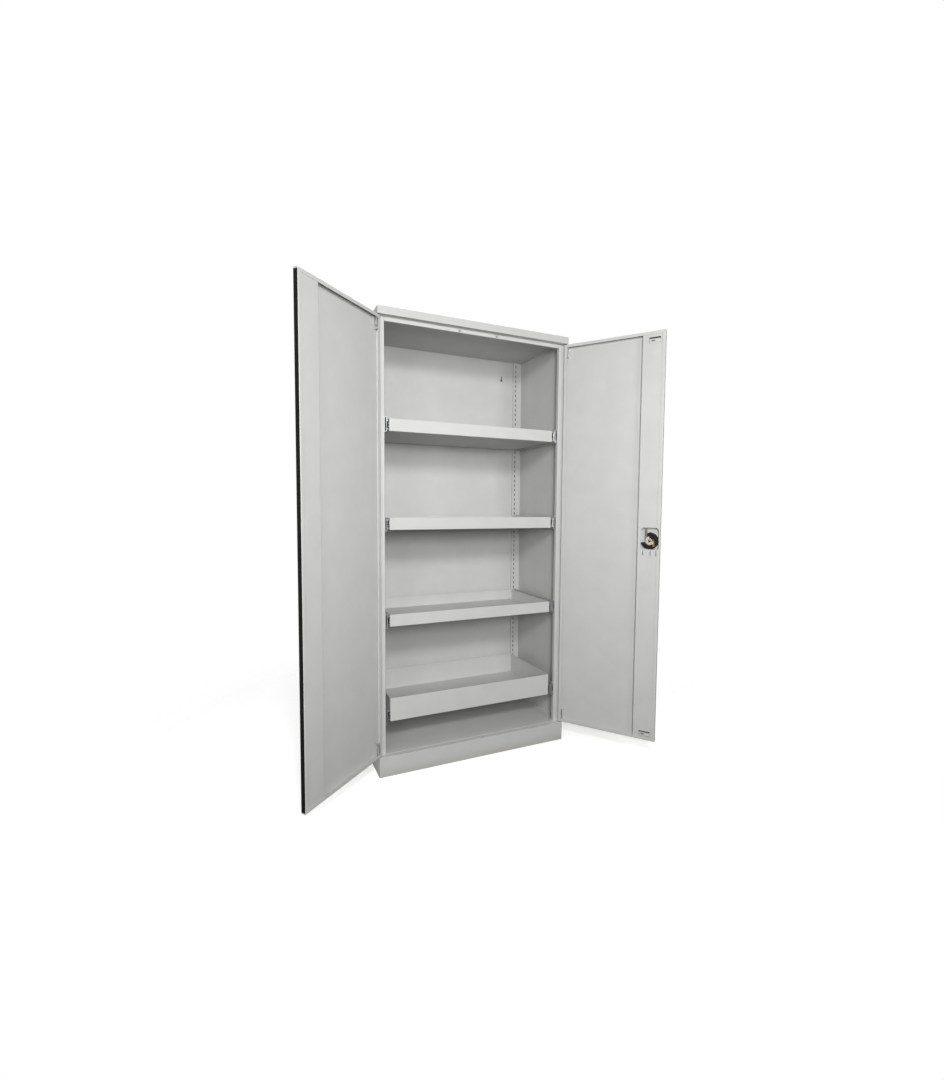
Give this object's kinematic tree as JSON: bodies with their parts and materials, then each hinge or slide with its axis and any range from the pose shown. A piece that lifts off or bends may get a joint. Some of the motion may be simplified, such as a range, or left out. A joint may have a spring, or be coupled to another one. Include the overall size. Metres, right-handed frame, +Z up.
{
  "type": "safety cabinet",
  "caption": "Tall sheet-steel safety cabinet with pivot-hinged pan doors, pull-out trays on telescopic ball-bearing runners and a rod lock.",
  "frame": {"origin": "centre of the cabinet body's footprint, on the floor", "axes": "+Z up, -Y out of the front, +X to the right seen from the front"},
  "size_m": [1.5396, 0.8119, 1.95],
  "materials": {
    "light_grey_paint": "light grey powder coat, fine orange peel, satin",
    "zinc": "bluish bright zinc plate",
    "steel": "plain drawn steel",
    "black_paint": "black lacquered lock case",
    "black_plastic": "fine-grained black nylon",
    "brass": "dull machined brass",
    "rubber": "matt black rubber",
    "pale_rubber": "matt pale grey rubber"
  },
  "bodies": {
    "carcass": {"left_side_panel": "light_grey_paint", "right_side_panel": "light_grey_paint", "back_panel": "light_grey_paint", "top_panel": "light_grey_paint", "ceiling_panel": "light_grey_paint", "front_fascia": "light_grey_paint", "top_rail": "light_grey_paint", "floor_panel": "light_grey_paint", "plinth": "light_grey_paint", "rear_uprights": "light_grey_paint", "runner_carriers": "zinc", "carrier_rivets": "zinc", "hinge_bushes": "black_plastic", "hinge_washers": "steel", "door_buffers": "pale_rubber", "rod_keepers": "steel", "tray_1_outer_slides": "zinc", "tray_2_outer_slides": "zinc", "tray_3_outer_slides": "zinc", "tray_4_outer_slides": "zinc"},
    "left_door": {"left_door_skin": "light_grey_paint", "left_door_stile": "light_grey_paint", "left_hinge_brackets": "zinc", "left_hinge_pins": "steel", "left_door_seal": "rubber"},
    "right_door": {"right_door_skin": "light_grey_paint", "right_door_stile": "light_grey_paint", "right_hinge_brackets": "zinc", "right_hinge_pins": "steel", "lock_case": "black_paint", "lock_cover": "black_paint", "rod_guides": "light_grey_paint", "handle_rosette": "black_plastic"},
    "lock_handle": {"lock_pinion": "brass", "handle_spindle": "steel", "handle_grip": "black_plastic"},
    "key_plug": {"key_plug": "steel"},
    "upper_rod": {"upper_rod": "steel"},
    "lower_rod": {"lower_rod": "steel"},
    "tray_1": {"tray_1_pan": "light_grey_paint", "tray_1_inner_slides": "zinc"},
    "tray_1_mid_slides": {"tray_1_mid_slides": "zinc"},
    "tray_1_outer_cages": {"tray_1_outer_cages": "steel"},
    "tray_1_inner_cages": {"tray_1_inner_cages": "steel"},
    "tray_2": {"tray_2_pan": "light_grey_paint", "tray_2_inner_slides": "zinc"},
    "tray_2_mid_slides": {"tray_2_mid_slides": "zinc"},
    "tray_2_outer_cages": {"tray_2_outer_cages": "steel"},
    "tray_2_inner_cages": {"tray_2_inner_cages": "steel"},
    "tray_3": {"tray_3_pan": "light_grey_paint", "tray_3_inner_slides": "zinc"},
    "tray_3_mid_slides": {"tray_3_mid_slides": "zinc"},
    "tray_3_outer_cages": {"tray_3_outer_cages": "steel"},
    "tray_3_inner_cages": {"tray_3_inner_cages": "steel"},
    "tray_4": {"tray_4_pan": "light_grey_paint", "tray_4_inner_slides": "zinc"},
    "tray_4_mid_slides": {"tray_4_mid_slides": "zinc"},
    "tray_4_outer_cages": {"tray_4_outer_cages": "steel"},
    "tray_4_inner_cages": {"tray_4_inner_cages": "steel"}
  },
  "joints": [
    {"name": "left_door_hinge", "type": "hinge", "parent": "carcass", "child": "left_door", "pos_m": [-0.452, -0.217, 0], "axis": [0, 0, -1], "range_deg": [-139, 11]},
    {"name": "right_door_hinge", "type": "hinge", "parent": "carcass", "child": "right_door", "pos_m": [0.452, -0.217, 0], "axis": [0, 0, 1], "range_deg": [-126.5, 23.5]},
    {"name": "lock_handle_turn", "type": "hinge", "parent": "right_door", "child": "lock_handle", "pos_m": [0.70335, -0.53483, 1.001], "axis": [0.8039, 0.5948, 0], "range_deg": [0, 90]},
    {"name": "key_plug_turn", "type": "hinge", "parent": "lock_handle", "child": "key_plug", "pos_m": [0.70335, -0.53483, 1.001], "axis": [0.8039, 0.5948, 0], "range_deg": [0, 90]},
    {"name": "upper_rod_slide", "type": "slide", "parent": "right_door", "child": "upper_rod", "axis": [0, 0, 1], "range_m": [0, 0.0157]},
    {"name": "lower_rod_slide", "type": "slide", "parent": "right_door", "child": "lower_rod", "axis": [0, 0, -1], "range_m": [0, 0.0157]},
    {"name": "tray_1_slide", "type": "slide", "parent": "carcass", "child": "tray_1", "axis": [0, -1, 0], "range_m": [0, 0.37]},
    {"name": "tray_1_mid_slides_slide", "type": "slide", "parent": "carcass", "child": "tray_1_mid_slides", "axis": [0, -1, 0], "range_m": [0, 0.185]},
    {"name": "tray_1_outer_cages_slide", "type": "slide", "parent": "carcass", "child": "tray_1_outer_cages", "axis": [0, -1, 0], "range_m": [0, 0.0925]},
    {"name": "tray_1_inner_cages_slide", "type": "slide", "parent": "carcass", "child": "tray_1_inner_cages", "axis": [0, -1, 0], "range_m": [0, 0.2775]},
    {"name": "tray_2_slide", "type": "slide", "parent": "carcass", "child": "tray_2", "axis": [0, -1, 0], "range_m": [0, 0.37]},
    {"name": "tray_2_mid_slides_slide", "type": "slide", "parent": "carcass", "child": "tray_2_mid_slides", "axis": [0, -1, 0], "range_m": [0, 0.185]},
    {"name": "tray_2_outer_cages_slide", "type": "slide", "parent": "carcass", "child": "tray_2_outer_cages", "axis": [0, -1, 0], "range_m": [0, 0.0925]},
    {"name": "tray_2_inner_cages_slide", "type": "slide", "parent": "carcass", "child": "tray_2_inner_cages", "axis": [0, -1, 0], "range_m": [0, 0.2775]},
    {"name": "tray_3_slide", "type": "slide", "parent": "carcass", "child": "tray_3", "axis": [0, -1, 0], "range_m": [0, 0.37]},
    {"name": "tray_3_mid_slides_slide", "type": "slide", "parent": "carcass", "child": "tray_3_mid_slides", "axis": [0, -1, 0], "range_m": [0, 0.185]},
    {"name": "tray_3_outer_cages_slide", "type": "slide", "parent": "carcass", "child": "tray_3_outer_cages", "axis": [0, -1, 0], "range_m": [0, 0.0925]},
    {"name": "tray_3_inner_cages_slide", "type": "slide", "parent": "carcass", "child": "tray_3_inner_cages", "axis": [0, -1, 0], "range_m": [0, 0.2775]},
    {"name": "tray_4_slide", "type": "slide", "parent": "carcass", "child": "tray_4", "axis": [0, -1, 0], "range_m": [0, 0.37]},
    {"name": "tray_4_mid_slides_slide", "type": "slide", "parent": "carcass", "child": "tray_4_mid_slides", "axis": [0, -1, 0], "range_m": [0, 0.185]},
    {"name": "tray_4_outer_cages_slide", "type": "slide", "parent": "carcass", "child": "tray_4_outer_cages", "axis": [0, -1, 0], "range_m": [0, 0.0925]},
    {"name": "tray_4_inner_cages_slide", "type": "slide", "parent": "carcass", "child": "tray_4_inner_cages", "axis": [0, -1, 0], "range_m": [0, 0.2775]}
  ],
  "couplings": [
    {"joint": "lock_handle_turn", "follows": "upper_rod_slide", "rad_per_m": 100},
    {"joint": "lower_rod_slide", "follows": "upper_rod_slide", "ratio": 1},
    {"joint": "tray_1_mid_slides_slide", "follows": "tray_1_slide", "ratio": 0.5},
    {"joint": "tray_1_outer_cages_slide", "follows": "tray_1_slide", "ratio": 0.25},
    {"joint": "tray_1_inner_cages_slide", "follows": "tray_1_slide", "ratio": 0.75},
    {"joint": "tray_2_mid_slides_slide", "follows": "tray_2_slide", "ratio": 0.5},
    {"joint": "tray_2_outer_cages_slide", "follows": "tray_2_slide", "ratio": 0.25},
    {"joint": "tray_2_inner_cages_slide", "follows": "tray_2_slide", "ratio": 0.75},
    {"joint": "tray_3_mid_slides_slide", "follows": "tray_3_slide", "ratio": 0.5},
    {"joint": "tray_3_outer_cages_slide", "follows": "tray_3_slide", "ratio": 0.25},
    {"joint": "tray_3_inner_cages_slide", "follows": "tray_3_slide", "ratio": 0.75},
    {"joint": "tray_4_mid_slides_slide", "follows": "tray_4_slide", "ratio": 0.5},
    {"joint": "tray_4_outer_cages_slide", "follows": "tray_4_slide", "ratio": 0.25},
    {"joint": "tray_4_inner_cages_slide", "follows": "tray_4_slide", "ratio": 0.75}
  ]
}
